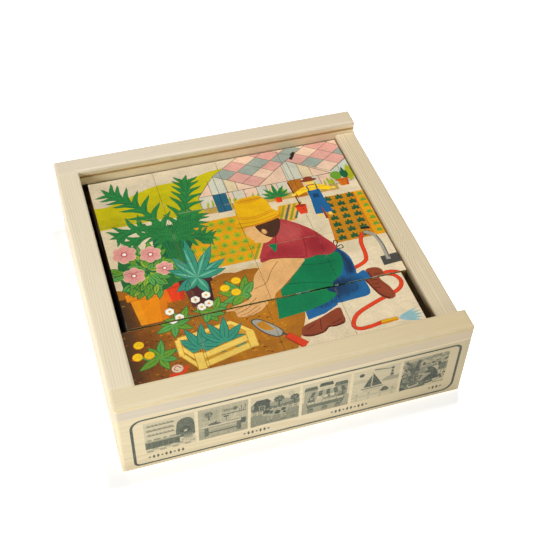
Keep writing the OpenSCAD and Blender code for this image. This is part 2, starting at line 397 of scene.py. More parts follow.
def glasshouse(d):
    """Two gables side by side with panes in faded colours, a patchwork roof and a low plank wall."""
    slopes = (((75, 146.6), ("glass_grey", "glass_pink", "glass_pink", "glass_grey", "glass_rose")),
              ((123, 148.6), ("glass_pink", "glass_grey", "glass_rose", "glass_pink", "glass_pink")))
    for peak, inks in slopes:
        d.panes(peak, (24, -16.4), (38, 26.6), 3, 5, inks)
    gables = (((75, 146.6), 62, 99), ((123, 148.6), 99, 147))
    d.fill([(62, 113.6), (62, 130), (75, 146.6), (99, 130), (123, 148.6), (147, 131.6), (147, 113.6)],
           "glass_rose")
    for (px, py), left, right in gables:
        base = 130
        for x0, x1, ink in ((-4.4, 0, "glass_blue"), (0, 5.4, "glass_blue"), (5.4, 12, "glass_pale")):
            ends = [(px + x, py - abs(x) * (py - base) / ((px - left) if x < 0 else (right - px)))
                    for x in (x0, x1)]
            d.fill([(px + x0, base), *ends, (px + x1, base)], ink, 0.8)
        d.lines([[(px + x, base), (px + x, py - 0.7 * abs(x))] for x in (-4.4, 0, 5.4, 12)])
        d.lines([[(left, base), (px, py), (right, base)], [(left, base), (right, base)]], "line", 0.55)
    for x in (62, 82, 98, 110, 130):
        d.box(x, 119, x + 7, 130, "glass_blue", 0.7)
    brush = random.Random(21)
    for i in range(46):
        x = brush.uniform(63, 146)
        d.leaf(x, 119, 90 + brush.uniform(-16, 16), brush.uniform(4, 8), 1.6,
               "tuft" if i % 3 else "leaf_light", steps=3)
    d.box(62, 114.6, 147, 119.4, "olive")
    d.lines([[(x, 119), (x, 130)] for x in (62, 83, 90, 98, 104, 111, 130, 138, 147)])
    d.lines([[(62, 119.4), (147, 119.4)]])
    d.lines([[(x, 114.6), (x, 119.4)] for x in range(66, 147, 9)], "bed_dark", 0.4)
    d.box(70.4, 114, 79, 130, "teal")
    d.box(118.4, 114, 126.6, 130, "door")
    d.lines([[(74.7, 114), (74.7, 130)]], "navy")
    d.lines([[(122.4, 114), (122.4, 130)]], "boot")
    d.fill([(147, 119), (147, 131.6), (163, 143), (163, 122)], "glass_blue")
    d.leaf(157, 120, 80, 16, 6, "tuft", 10)
    d.lines([[(147, 131.6), (163, 143)], [(153, 120), (153, 136)], [(147, 119), (163, 122)]])
    # vent pipe on the roof
    d.ribbon([(126.4, 149), (129, 152.6)], 2.2, 2.0, "black", smooth=False)
    d.ribbon([(128.4, 152.6), (130.8, 155.4)], 2.8, 1.8, "black", smooth=False)


def soil(d):
    """The dug ground at the front: brown, with darker and warmer patches and crumbs."""
    d.blob([(-8, 65), (14, 64), (34, 65), (58, 64), (78, 65), (90, 58), (99, 44), (99, 28), (94, 16), (87, 4),
            (84, -8), (-8, -8)], "soil", steps=3)
    patches = random.Random(31)
    for i in range(26):
        x, y = patches.uniform(-4, 88), patches.uniform(0, 60)
        warm = x > 48 or (i % 3 == 0 and y < 30)
        d.flower(min(x, 82), y, patches.uniform(6, 12), "soil_light" if warm else "soil_dark", None, 3, 18,
                 0.16)
    d.shade([(46, 60), (84, 60), (94, 44), (97, 26), (86, 2), (50, 2)], "bed_dark", 0.45, 6)
    d.shade([(-8, 60), (8, 57), (20, 40), (18, 20), (22, -4), (-8, -4)], "soil_dark", 0.6, 6)
    # painted shadow of the box's left wall: a dark band along the picture's left edge
    for width in (9, 7, 5.5, 4, 2.5, 1.2):
        d.box(-1, -1, width, 62, "black", 0.16)
    for i in range(620):
        x, y = patches.uniform(0, 95), patches.uniform(1, 63)
        if x > 86 and y < 26:
            continue
        ink = "boot_dark" if patches.random() < 0.85 - x / 130 else ("pot_dark", "bed")[i % 2]
        d.oval(x, y, patches.uniform(0.4, 1.3), patches.uniform(0.3, 0.6), ink, patches.uniform(-30, 30), 5,
               0.55)
    for x, y, length in ((4, 64, 6), (20, 64, 8), (60, 64.4, 9), (72, 64, 8)):
        d.blob([(x - length, y - 2), (x, y + 1.6), (x + length, y - 2)], "soil", 1.0, 3)


def seedling_crate(d):
    """A slatted crate of seedlings in soil."""
    d.fill([(28, 26), (35, 8), (66, 16), (66, 23), (58, 30)], "crate_dark")
    d.fill([(30, 22), (36, 13), (64, 19), (58, 26)], "soil_light")
    d.lines([[(28, 27), (58, 31), (67, 22)]], "crate", 2.2)
    d.lines([[(28, 28.2), (58, 32.2)], [(29, 23), (57, 27.6)]], "crate_dark", 0.5)
    for x, y in ((39, 18), (51.6, 19)):
        for i in range(5):
            d.lines([[(x - 2 + i, y), (x - 3 + 1.4 * i, y - 5)]], "soil_dark", 0.35)
        d.rosette(x, y, ((172, 14), (8, 12), (142, 14), (40, 15), (-24, 12), (112, 16), (78, 17)), 4.4,
                  ("agave", "agave"), "agave_dark")
    for rise in (0, 5.4):
        d.fill([(27, 16 + rise), (35, 4.8 + rise), (35, 8.6 + rise), (27, 20.4 + rise)], "crate")
        d.fill([(35, 4.8 + rise), (67, 12 + rise), (67, 16 + rise), (35, 8.6 + rise)], "crate")
        d.lines([[(27, 16 + rise), (35, 4.8 + rise), (67, 12 + rise)],
                 [(27, 20.4 + rise), (35, 8.6 + rise), (67, 16 + rise)]], "crate_dark", 0.5)
    for x, y, width in ((34, 4.8, 4.6), (63.6, 11.6, 4.6), (26.4, 16, 2.8)):
        d.box(x, y, x + width, y + 11, "crate")
        d.lines([[(x, y), (x, y + 11), (x + width, y + 11), (x + width, y), (x, y)]], "crate_dark", 0.5)


def gardener(d):
    """A kneeling gardener in a straw hat, turned away under its brim."""
    # far boot, trousers and near boot
    d.blob([(137, 45), (141, 47), (146, 45), (147, 38), (150, 31), (150.4, 24.4), (146, 23), (142, 27),
            (139.4, 35)], "boot")
    d.curves([[(138, 44), (140, 35), (143, 27), (147, 23.6)]], "boot_dark", 0.9)
    d.lines([[(141, 42 - 3 * i), (145, 41.4 - 3 * i)] for i in range(4)], "boot_dark", 0.5)
    d.blob([(122, 68), (128, 67), (132.4, 59), (132.4, 49), (132, 45), (136.4, 46.4), (138, 41), (137.6, 30),
            (128, 28.4), (114, 28.6), (108, 36), (116, 48)], "blue", steps=4)
    for outline, angle, seed in (([(111, 41), (118, 46), (131, 43), (133, 35), (122, 30), (111, 31)], 78, 50),
                                 ([(112, 41), (118, 44), (126, 42), (124, 35), (113, 34)], 84, 51),
                                 ([(125, 67), (131, 60), (132, 48), (126, 46), (127, 56)], 128, 52),
                                 ([(128, 62), (131.6, 56), (131, 47), (128, 47), (129, 55)], 140, 53)):
        d.shade(outline, "navy", 0.4)
        d.pencil(outline, angle, "navy", seed, 0.4, 0.62, 0.55)
    d.blob([(92, 13), (94, 17), (99, 19), (106, 21), (117, 25), (118, 20), (117, 14), (111, 12.6),
            (107.6, 13), (104, 10.4), (97, 9.6), (92.4, 11)], "boot", steps=4)
    d.fill([(98.6, 21), (109, 23), (117.6, 27), (118, 33), (108, 36), (99, 31)], "blue")
    d.pencil([(100, 31), (108, 36), (118, 33), (117, 28), (108, 26)], 76, "navy", 54, 0.5, 0.62, 0.55)
    d.curves([[(92.4, 11.6), (98, 10.2), (104, 11), (107.6, 13.6), (112, 13.2), (117, 14.6)]],
            "boot_dark", 1.0)
    d.lines([[(96, 15), (101, 17.4)], [(103, 13), (105, 20)], [(110, 15), (116, 17)]], "boot_dark", 0.5)
    # apron
    d.blob([(100, 60), (112, 67), (120, 65), (127, 64), (127.6, 56), (123, 47), (117, 42.6), (116, 38),
            (119.6, 34.6), (113, 30.4), (100, 27.4), (84.6, 26), (83.6, 26.2), (83.8, 27.4), (85.6, 36),
            (87.4, 46), (94, 50)], "apron", steps=4)
    d.shade([(106, 62), (125, 63), (125, 54), (113, 44), (104, 52)], "apron_dark", 0.25)
    d.pencil([(86, 40), (102, 46), (115, 38), (100, 28), (86, 28)], 68, "apron_dark", 56, 0.25)
    d.curves([[(92, 48), (104, 46), (116, 42)], [(104, 60), (114, 58), (124, 58)]],
            "apron_dark", 0.6)
    d.curves([
        [(126.6, 67.4), (128, 73), (130, 72), (127, 67)], [(127, 67), (131, 69), (131.4, 66.4), (127, 66.6)],
        [(127, 67), (129, 63), (130.4, 61)]], "black", 0.6)
    # arms and hands
    arms = [(86, 72), (83, 67), (76, 59), (73.6, 54), (72, 50), (67.2, 46.6), (66.8, 44), (68.6, 42.4),
            (64, 41), (57.6, 40), (57.6, 38.8), (61.6, 38.2), (62.4, 36.4), (62.4, 34.6), (62.8, 33),
            (66, 32.2), (71, 32.4), (76, 34), (80.6, 37.6), (83.4, 43), (88, 46), (94, 51), (101, 57),
            (107, 63), (106, 72)]
    d.fill(arms, "skin_dark")
    d.fill([(x + 0.2, y + (0.5 if y < 60 and x > 62 else 0.2)) for x, y in arms], "skin")
    d.pencil([(84, 50), (92, 56), (102, 66), (106, 62), (94, 52), (84, 45)], 42, "skin_dark", 60, 0.22, 0.7)
    d.pencil([(74, 36), (80, 40), (83, 46), (78, 44), (72, 38)], 42, "skin_dark", 62, 0.22, 0.7)
    d.curves([[(92, 66.4), (86, 60), (81, 52.4), (76, 50.4), (73, 49.6)],
              [(62, 38.2), (69, 40.6), (72.6, 43.4)], [(62.8, 35.8), (68.6, 37.6), (73.4, 40.4)],
              [(64, 33.8), (69.6, 35.2), (75.2, 38.4)], [(68, 33), (73, 34.6), (76.8, 36.8)]], "skin_dark",
             0.5)
    # back, sleeves and kerchief
    d.blob([(82.6, 68), (85, 76), (90, 85), (96, 93), (101, 99.6), (108, 96.4), (118, 87), (124, 77),
            (128, 68.4), (122.6, 63.6), (115, 65), (109, 64), (100, 66.6), (90, 69)], "shirt", steps=4)
    for part, outline in enumerate((
            [(112, 86), (119, 84), (127, 69), (121, 64), (112, 66)],
            [(114, 80), (119, 79), (123, 69), (115, 68)],
            [(86, 72), (97, 79), (109, 74), (106, 67), (88, 70)])):
        d.shade(outline, "shirt_dark", 0.3)
        d.pencil(outline, (112, 104, 30)[part], "shirt_dark", 57 + part, 0.36, 0.65)
    d.shade([(96, 88), (102, 97), (113, 91), (110, 80), (99, 80)], "shirt_light", 0.3)
    d.pencil([(96, 88), (102, 97), (113, 91), (110, 80), (99, 80)], 112, "shirt_light", 61, 0.4, 0.65)
    d.curves([[(112, 82), (111, 74), (109, 65)], [(84, 70), (96, 68), (108, 65.4)],
             [(101, 97), (97, 86), (95, 80)]], "shirt_dark", 0.6)
    d.fill([(90.6, 80.6), (96, 80), (93, 73)], "apron")
    # head bent away: neck, hair and ear under a wide hat
    d.blob([(81, 96), (82.4, 88), (87, 83), (92, 83), (97, 88), (101, 98), (90, 103)], "skin")
    d.blob([(88, 99), (89, 92), (93, 86.4), (97, 86), (101.4, 92), (103, 100), (94, 103)], "hair", steps=4)
    d.oval(91.6, 91.4, 1.7, 2.4, "skin_dark", 12)
    d.oval(91.7, 91.6, 1.2, 1.8, "skin", 12)
    d.blob([(77, 98.6), (79, 105), (82, 108), (94, 106), (101, 109), (105, 105), (104, 101), (92, 98),
            (84, 97.4)], "hat_dark", steps=4)
    d.blob([(77, 99.6), (79, 105.4), (82, 108), (94, 106), (101, 109), (104.6, 105.4), (103, 102.4),
            (92, 99.4), (84, 98.6)], "hat", steps=4)
    d.blob([(80, 105), (80.4, 114), (81.4, 120), (86, 122.4), (95, 122.6), (99.4, 119.4), (101.4, 108),
            (92, 104.6)], "hat", steps=4)
    d.blob([(82.6, 119), (90, 117.4), (98, 119.4), (95, 121.6), (86, 121.4)], "hat_dark", 0.45)
    d.curves([[(80, 107), (90, 105), (101.6, 108.4)], [(80.4, 105.6), (90, 103.6), (102, 107)],
             [(78, 101.6), (90, 101), (103.6, 104)]], "hat_dark", 0.6)


def scarecrow(d, x, y):
    """A straw man on a pole, in blue dungarees and a yellow shirt."""
    d.ribbon([(x, y), (x, y + 36)], 1.4, 1.4, "boot", smooth=False)
    for side in (-1, 1):
        hand = x + side * 11
        d.fan(hand, y + 25, [90 - side * 90 + turn for turn in (-24, -8, 8, 24)], 4, 1.1, "crate", steps=3)
        d.ribbon([(x + side * 3, y + 28), (x + side * 7, y + 27), (hand, y + 25)], 4.8, 3.4, "yellow")
        d.fan(x + side * 3.2, y + 6, [250, 265, 280, 292], 5, 1.1, "crate", steps=3)
        d.ribbon([(x + side * 1.6, y + 18), (x + side * 3.2, y + 5)], 5.0, 4.6, "blue", smooth=False)
    d.box(x - 4.4, y + 24, x + 4.4, y + 30.4, "yellow")
    d.box(x - 4, y + 15, x + 4, y + 26, "blue")
    d.box(x - 1.8, y + 19, x + 1.8, y + 22.6, "navy", 0.6)
    d.lines([[(x - 2.6, y + 25), (x - 3, y + 30.4)], [(x + 2.6, y + 25), (x + 3, y + 30.4)]], "navy", 0.8)
    d.oval(x, y + 33.4, 3.0, 3.4, "crate")
    d.lines([[(x - 2.4, y + 30.8), (x + 2.4, y + 30.8)]], "boot", 0.8)
    d.oval(x, y + 35.4, 5.4, 1.4, "boot")
    d.oval(x, y + 36.8, 3.0, 2.0, "boot")


def house(d, x, y, width, height, wall, roof, floors=2):
    """A house front with windows, a door and a tiled roof."""
    d.box(x, y, x + width, y + height, wall)
    top = y + height
    d.fill([(x - 2, top), (x + width + 2, top), (x + width - 3, top + width * 0.4),
            (x + 3, top + width * 0.4)], roof)
    for i in range(1, 4):
        d.lines([[(x - 1 + i, top + width * 0.1 * i), (x + width + 1 - i, top + width * 0.1 * i)]],
                "boot_dark", 0.4)
    for floor in range(floors):
        for side in (0.26, 0.74):
            wx, wy = x + width * side, y + height * (floor + 0.42) / floors
            if floor == 0 and side > 0.5:
                d.box(wx - 4, y, wx + 4, wy + 5, "door")
                d.oval(wx + 2.4, y + 6, 0.7, 0.7, "yellow", steps=6)
                continue
            d.box(wx - 4, wy - 4, wx + 4, wy + 5, "white")
            d.box(wx - 3.2, wy - 3.2, wx + 3.2, wy + 4.2, "sky_blue")
            d.lines([[(wx, wy - 3.2), (wx, wy + 4.2)], [(wx - 3.2, wy + 0.5), (wx + 3.2, wy + 0.5)]], "white",
                    0.6)


def tree(d, x, y, size, seed):
    """A round tree of leaf dabs over a trunk."""
    grow = random.Random(seed)
    d.ribbon([(x, y), (x + size * 0.03, y + size * 0.5)], size * 0.13, size * 0.08, "boot")
    d.flower(x, y + size * 0.72, size * 0.36, "leaf_dark", None, 9, 36)
    for i in range(30):
        lx, ly = polar(x, y + size * 0.72, grow.uniform(0, 360), size * grow.uniform(0.02, 0.32))
        d.oval(lx, ly, size * 0.06, size * 0.04, "leaf" if i % 3 else "leaf_light", grow.uniform(-40, 40), 7)


def loaf(d, x, y, size, long=False):
    """A round or long loaf with cuts across it."""
    rx = size * (1.7 if long else 1.0)
    d.oval(x, y, rx, size * 0.62, "bread_dark")
    d.oval(x, y + size * 0.1, rx * 0.93, size * 0.5, "bread")
    for i in (-1, 0, 1):
        d.ribbon([(x + i * rx * 0.4 - size * 0.2, y - size * 0.2),
                  (x + i * rx * 0.4 + size * 0.2, y + size * 0.38)], size * 0.12, size * 0.08, "crate")


def bakery():
    """Shelves of bread, an oven and a chequered floor."""
    d = Drawing("paper")
    for i in range(9):
        for j in range(3):
            if (i + j) % 2:
                d.fill([(i * 20 - 14 - j * 4, j * 12), (i * 20 + 6 - j * 4, j * 12),
                        (i * 20 + 2 - j * 4, j * 12 + 12), (i * 20 - 18 - j * 4, j * 12 + 12)], "stone")
    d.box(0, 36, 160, 160, "crate", 0.5)
    for shelf in range(3):
        y = 88 + 24 * shelf
        d.box(8, y, 96, y + 3, "boot")
        d.box(8, y, 96, y + 1, "boot_dark")
        for i in range(5 if shelf % 2 else 7):
            long = shelf % 2 == 1
            loaf(d, 16 + i * (17 if long else 12), y + 7, 5.4, long)
    d.blob([(104, 50), (102, 110), (112, 136), (132, 144), (150, 136), (158, 110), (158, 50)], "roof")
    for j in range(9):
        d.lines([[(103, 56 + 9 * j), (158, 56 + 9 * j)]], "boot_dark", 0.5)
    d.blob([(114, 70), (114, 88), (122, 98), (138, 98), (146, 88), (146, 70)], "black")
    d.fan(130, 70, [50, 70, 90, 110, 130], 22, 7, "red")
    d.fan(130, 70, [60, 80, 100, 120], 14, 5, "yellow")
    d.box(0, 20, 110, 56, "door")
    d.box(-1, 54, 114, 61, "stone")
    for i in range(6):
        d.box(4 + 18 * i, 24, 18 + 18 * i, 50, "boot", 0.55)
    for i in range(4):
        loaf(d, 14 + 25 * i, 66, 7.5, i % 2 == 1)
    d.box(124, 20, 152, 40, "crate_dark")
    for i in range(5):
        d.ribbon([(128 + 5 * i, 36), (125 + 6.4 * i, 58)], 4, 3, "bread")
    d.box(122, 18, 154, 34, "crate")
    d.lines([[(122, 26), (154, 26)], [(130, 18), (130, 34)], [(138, 18), (138, 34)], [(146, 18), (146, 34)]],
            "crate_dark", 0.8)
    return d


def workshop():
    """A joiner's bench with tools on the wall."""
    d = Drawing("paper")
    for i in range(9):
        d.box(i * 18, 46, i * 18 + 17, 160, "olive", 0.45)
    d.box(0, 0, 160, 46, "bed", 0.7)
    for j in range(5):
        d.lines([[(0, j * 10), (160, j * 10)]], "boot", 0.6)
    d.box(14, 96, 62, 146, "white")
    d.box(17, 99, 59, 143, "sky_blue")
    tree(d, 34, 98, 40, 3)
    d.box(37, 99, 39, 143, "white")
    d.box(17, 120, 59, 122, "white")
    d.box(76, 108, 152, 112, "boot")
    d.fill([(80, 140), (116, 134), (116, 126), (82, 122)], "metal")
    d.blob([(114, 124), (114, 138), (124, 140), (128, 132), (122, 122)], "door")
    for i in range(4):
        d.ribbon([(134 + 6 * i, 112), (134 + 6 * i, 126 + i)], 1.4, 1.4, "metal_dark", smooth=False)
        d.ribbon([(134 + 6 * i, 126 + i), (134 + 6 * i, 136 + i)], 3, 3.6, "red" if i % 2 else "yellow")
    d.ribbon([(90, 98), (90, 76)], 3, 3, "door", smooth=False)
    d.box(82, 96, 98, 103, "metal_dark")
    d.fill([(108, 78), (114, 78), (124, 104), (118, 104)], "crate")
    d.fill([(108, 78), (134, 78), (134, 83), (108, 83)], "crate")
    d.box(8, 58, 150, 68, "crate")
    d.box(8, 56, 150, 60, "crate_dark")
    for x in (18, 124):
        d.box(x, 12, x + 14, 57, "door")
        d.box(x + 9, 12, x + 14, 57, "boot", 0.5)
    d.box(24, 26, 132, 34, "door")
    d.box(138, 44, 154, 72, "boot")
    d.lines([[(150, 58), (160, 58)]], "metal_dark", 2.4)
    d.blob([(34, 68), (34, 76), (44, 80), (62, 78), (70, 74), (72, 68)], "roof")
    d.fill([(50, 76), (56, 76), (60, 86), (56, 87)], "metal_dark")
    d.box(90, 68, 134, 73, "bread")
    shavings = random.Random(8)
    for i in range(16):
        x, y = shavings.uniform(20, 150), shavings.uniform(2, 22)
        d.ribbon([(x, y), (x + 3, y + 3), (x + 6, y), (x + 3, y - 2), (x + 2, y + 1)], 1.3, 0.6, "crate")
    return d


def farm():
    """A cow in a meadow before a barn."""
    d = Drawing("sky")
    d.oval(132, 140, 11, 11, "yellow", steps=20)
    d.blob([(-8, 70), (-8, 112), (24, 122), (60, 112), (100, 124), (140, 110), (168, 118), (168, 70)], "hill")
    d.blob([(-8, 60), (-8, 92), (40, 100), (90, 92), (168, 100), (168, 60)], "leaf")
    d.box(10, 84, 62, 118, "red_dark")
    d.fill([(4, 118), (18, 138), (54, 138), (68, 118)], "boot_dark")
    for i in range(6):
        d.lines([[(14 + 9 * i, 84), (14 + 9 * i, 118)]], "boot_dark", 0.6)
    d.box(26, 84, 46, 106, "white")
    d.box(28, 84, 44, 104, "boot")
    d.lines([[(28, 84), (44, 104)], [(44, 84), (28, 104)]], "white", 1)
    tree(d, 92, 88, 50, 4)
    tree(d, 144, 84, 44, 6)
    d.blob([(-8, -8), (-8, 66), (50, 74), (110, 66), (168, 74), (168, -8)], "leaf_light", steps=4)
    for i in range(10):
        d.box(2 + 17 * i, 60, 5 + 17 * i, 82, "crate")
    d.box(-1, 65, 161, 68, "crate")
    d.box(-1, 74, 161, 77, "crate")
    for x, lean in ((58, -1), (68, 1), (104, -1), (114, 1)):
        d.ribbon([(x, 46), (x + lean, 28), (x + lean, 14)], 8, 5, "white")
        d.box(x + lean - 3, 12, x + lean + 3, 16, "black")
    d.blob([(50, 64), (54, 72), (80, 75), (106, 73), (122, 74), (124, 60), (118, 44), (92, 38), (62, 40),
            (52, 50)], "white")
    for x, y, rx, ry in ((66, 62, 9, 7), (88, 54, 11, 8), (108, 64, 9, 7), (112, 48, 6, 5)):
        d.flower(x, y, rx, "cow", None, 4, 16)
        d.oval(x, y, rx * 0.8, ry, "cow")
    d.blob([(44, 52), (40, 66), (46, 78), (58, 78), (62, 66), (56, 54)], "cow")
    d.blob([(38, 50), (40, 58), (48, 60), (56, 56), (54, 48), (46, 46)], "pink")
    for side in (-1, 1):
        d.leaf(51 + side * 6, 76, 90 - side * 70, 11, 5, "cow")
        d.ribbon([(51 + side * 5, 78), (51 + side * 8, 84)], 2, 1, "crate")
        d.oval(50 + side * 4, 68, 1.4, 1.8, "black", steps=8)
        d.oval(47 + side * 3, 52, 1, 1, "rose", steps=6)
    d.ribbon([(122, 70), (132, 60), (130, 40)], 2, 2, "white")
    grass = random.Random(2)
    for i in range(34):
        d.fan(grass.uniform(2, 158), grass.uniform(1, 40), [60, 90, 120], 5, 1.6, "leaf", steps=3)
    for i in range(14):
        d.flower(grass.uniform(4, 156), grass.uniform(3, 34), 2.4, "white" if i % 2 else "rose", "yellow", 5,
                 10)
    return d


def market():
    """A fruit stall under a striped awning."""
    d = Drawing("sky")
    house(d, 6, 62, 44, 62, "glass_pink", "roof")
    house(d, 56, 62, 46, 70, "crate", "plum_light")
    house(d, 108, 62, 44, 58, "glass_grey", "roof")
    d.box(0, 0, 160, 62, "stone")
    for j in range(6):
        d.lines([[(0, 10 * j), (160, 10 * j)]], "line", 0.3)
        d.lines([[(12 * i + 6 * (j % 2), 10 * j), (12 * i + 6 * (j % 2), 10 * j + 10)] for i in range(14)],
                "line", 0.3)
    for x in (22, 134):
        d.box(x, 20, x + 4, 96, "boot")
    for i in range(10):
        x = 12 + 13.6 * i
        d.fill([(x, 88), (x + 13.6, 88), (20 + 12 * (i + 1), 112), (20 + 12 * i, 112)],
               "red" if i % 2 else "white")
        d.oval(x + 6.8, 88, 6.8, 4, "red" if i % 2 else "white", steps=12)
    d.fill([(18, 30), (142, 30), (146, 56), (14, 56)], "door")
    fruit = ("red", "yellow", "leaf_light", "pot", "rose")
    for crate, ink in enumerate(fruit):
        x = 18 + 25 * crate
        for j in range(3):
            for i in range(5):
                d.oval(x + 3 + 4.2 * i + (j % 2) * 2, 61 + 4 * j, 2.9, 2.9, ink, steps=10)
                d.oval(x + 2.2 + 4.2 * i + (j % 2) * 2, 62 + 4 * j, 0.8, 0.8, "white", steps=5, strength=0.5)
        d.box(x, 48, x + 23, 60, "crate")
        d.lines([[(x, 52), (x + 23, 52)], [(x, 56), (x + 23, 56)], [(x + 11, 48), (x + 11, 60)]],
                "crate_dark", 0.7)
    for x in (30, 78, 124):
        d.oval(x, 12, 12, 5, "boot")
        d.fan(x, 13, [30, 50, 70, 90, 110, 130, 150], 20, 5, "leaf", "leaf_dark")
        d.fill([(x - 12, 14), (x + 12, 14), (x + 9, 2), (x - 9, 2)], "bread")
        d.lines([[(x - 11, 10), (x + 11, 10)], [(x - 10, 6), (x + 10, 6)]], "bread_dark", 0.7)
    return d


def harbour():
    """A sailing boat, a lighthouse and a jetty at night."""
    d = Drawing("night")
    d.oval(28, 138, 9, 9, "moon", steps=20)
    stars = random.Random(4)
    for i in range(26):
        d.oval(stars.uniform(2, 158), stars.uniform(104, 158), 0.7, 0.7, "moon", steps=6)
    d.blob([(-8, 90), (-8, 108), (30, 116), (60, 102), (80, 90)], "palm_dark", 0.4)
    d.box(0, 0, 160, 96, "deep")
    waves = random.Random(9)
    for i in range(46):
        x, y = waves.uniform(0, 156), waves.uniform(34, 94)
        d.ribbon([(x, y), (x + 3, y + 1.2), (x + 6, y)], 0.9, 0.4, "sea")
    d.blob([(104, 84), (112, 100), (130, 104), (150, 100), (168, 104), (168, 84)], "metal_dark")
    for i in range(5):
        low, high = 6.5 - 0.7 * i, 5.8 - 0.7 * i
        y = 100 + 8 * i
        d.fill([(134 - low, y), (134 + low, y), (134 + high, y + 8), (134 - high, y + 8)],
               "red_dark" if i % 2 == 0 else "stone")
    d.fill([(129, 142), (129, 146), (70, 158), (70, 150)], "moon", 0.35)
    d.box(129, 140, 139, 147, "yellow")
    d.fill([(127, 147), (141, 147), (134, 154)], "red_dark")
    d.ribbon([(66, 58), (66, 140)], 2, 1.4, "boot", smooth=False)
    d.fill([(68, 68), (68, 138), (104, 70)], "stone")
    d.fill([(64, 68), (64, 130), (38, 70)], "crate_dark")
    for i in range(3):
        d.lines([[(68, 84 + 16 * i), (95 - 9 * i, 84 + 16 * i)]], "metal_dark", 0.6)
    d.fill([(30, 64), (108, 64), (96, 44), (42, 44)], "plum")
    d.fill([(29, 64), (109, 64), (107, 60), (31, 60)], "stone")
    d.box(0, 18, 160, 30, "boot_dark")
    d.box(0, 16, 160, 19, "black")
    for i in range(11):
        d.lines([[(4 + 15 * i, 19), (4 + 15 * i, 30)]], "black", 0.7)
    for x in (14, 56, 98, 140):
        d.box(x, 0, x + 8, 38, "plum")
        d.oval(x + 4, 38, 4, 1.4, "boot", steps=10)
        d.lines([[(x, 33), (x + 8, 33)]], "crate_dark", 2)
    d.blob([(104, 30), (104, 42), (116, 46), (128, 42), (128, 30)], "crate_dark")
    for i in range(4):
        d.leaf(106 + 5 * i, 44, 62 + 14 * i, 10, 4, "metal")
    return d


# In the order of the small pictures on the label
PICTURES = {"bakery": bakery, "workshop": workshop, "farm": farm, "market": market, "harbour": harbour,
            "garden": garden}


# Regions: a drawing becomes triangles of one colour each
MERGE = 0.004     # mm within which corner points are one


def square_about(x, y, half):
    """Corners of a square about (x, y)."""
    return [(x - half, y - half), (x + half, y - half), (x + half, y + half), (x - half, y + half)]


def contains(ring, points):
    """Which of the points lie inside the closed ring, by the even-odd rule."""
    px, py = points[:, :1], points[:, 1:]
    x0, y0 = ring[:, 0], ring[:, 1]
    x1, y1 = np.roll(x0, -1), np.roll(y0, -1)
    rise = np.where(y1 == y0, 1e-12, y1 - y0)
    crosses = ((y0 > py) != (y1 > py)) & (px < (x1 - x0) * (py - y0) / rise + x0)
    return crosses.sum(1) % 2 == 1


def regions(drawing, guides=(), smallest=0.0):
    """Corner points, triangles and their colours; guides are loops that the triangles also follow."""
    shapes = [s for s in drawing.shapes if np.ptp(np.array(s[0]), axis=0).max() >= smallest]
    points, edges = [], []
    for ring in [s[0] for s in shapes] + list(guides):
        first, count = len(points), len(ring)
        points += [Vector(p) for p in ring]
        edges += [(first + i, first + (i + 1) % count) for i in range(count)]
    corners, _, triangles, *_ = delaunay_2d_cdt(points, edges, [], 0, MERGE, False)
    corners, triangles = np.array([tuple(c) for c in corners]), np.array(triangles)
    centres = corners[triangles].mean(1)
    colours = np.zeros((len(triangles), 3))
    for outline, ink, strength in shapes:
        ring = np.array(outline)
        near = np.flatnonzero(((centres > ring.min(0)) & (centres < ring.max(0))).all(1))
        hit = near[contains(ring, centres[near])] if len(near) else near
        colours[hit] += strength * (np.array(INKS[ink]) - colours[hit])
    inside = ((centres > 0) & (centres < PICTURE)).all(1)
    return corners, triangles[inside], colours[inside]


def linear(colour):
    """0 to 255 screen values as linear light from 0 to 1."""
    c = np.asarray(colour, float) / 255
    return np.where(c <= 0.04045, c / 12.92, ((c + 0.055) / 1.055) ** 2.4)


# Sizes read from the frame, in metres
MM = 0.001
FIRST_LOW, FIRST_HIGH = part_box("block_r1_c1")
BLOCK = FIRST_HIGH.x - FIRST_LOW.x
EDGE = 0.12 * MM   # radius of the cubes' edges
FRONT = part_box("front_board")
RIGHT, UP, BACK = Vector((1, 0, 0)), Vector((0, 0, 1)), Vector((0, 1, 0))
# A cube's sides as (picture, its left-to-right direction, its bottom-to-top direction)
SIDES = (("garden", RIGHT, BACK), ("bakery", RIGHT, -BACK), ("workshop", RIGHT, UP), ("farm", -RIGHT, UP),
         ("market", BACK, UP), ("harbour", -BACK, UP))
BLOCKS = [(row, column) for row in range(TILES) for column in range(TILES)]


def cut_into_tiles(drawing):
    """A dict of (row, column) to corner points from the tile's centre, triangles and colours."""
    half = TILE / 2
    edge = EDGE / MM
    spots = {(r, c): (TILE * (c + 0.5), PICTURE - TILE * (r + 0.5)) for r, c in BLOCKS}
    guides = [square_about(x, y, half - inset) for x, y in spots.values() for inset in (0, edge / 2, edge)]
    corners, triangles, colours = regions(drawing, guides)
    centres = corners[triangles].mean(1)
    tiles = {}
    for place, spot in spots.items():
        mine = (abs(centres - spot) < half).all(1)
        used, renamed = np.unique(triangles[mine], return_inverse=True)
        tiles[place] = corners[used] - spot, renamed.reshape(-1, 3), colours[mine]
    return tiles


def painted_mesh(name, points, triangles, colours, normals):
    """A mesh whose faces carry their own colour in the attribute print."""
    mesh = bpy.data.meshes.new(name)
    mesh.from_pydata(points.tolist(), [], triangles.tolist())
    paint = mesh.attributes.new("print", "FLOAT_COLOR", "CORNER")
    rgba = np.ones((len(triangles), 3, 4))
    rgba[:, :, :3] = linear(colours)[:, None]
    paint.data.foreach_set("color", rgba.ravel())
    mesh.shade_smooth()
    mesh.normals_split_custom_set_from_vertices(normals.tolist())
    piece = bpy.data.objects.new(name, mesh)
    bpy.context.scene.collection.objects.link(piece)
    return piece


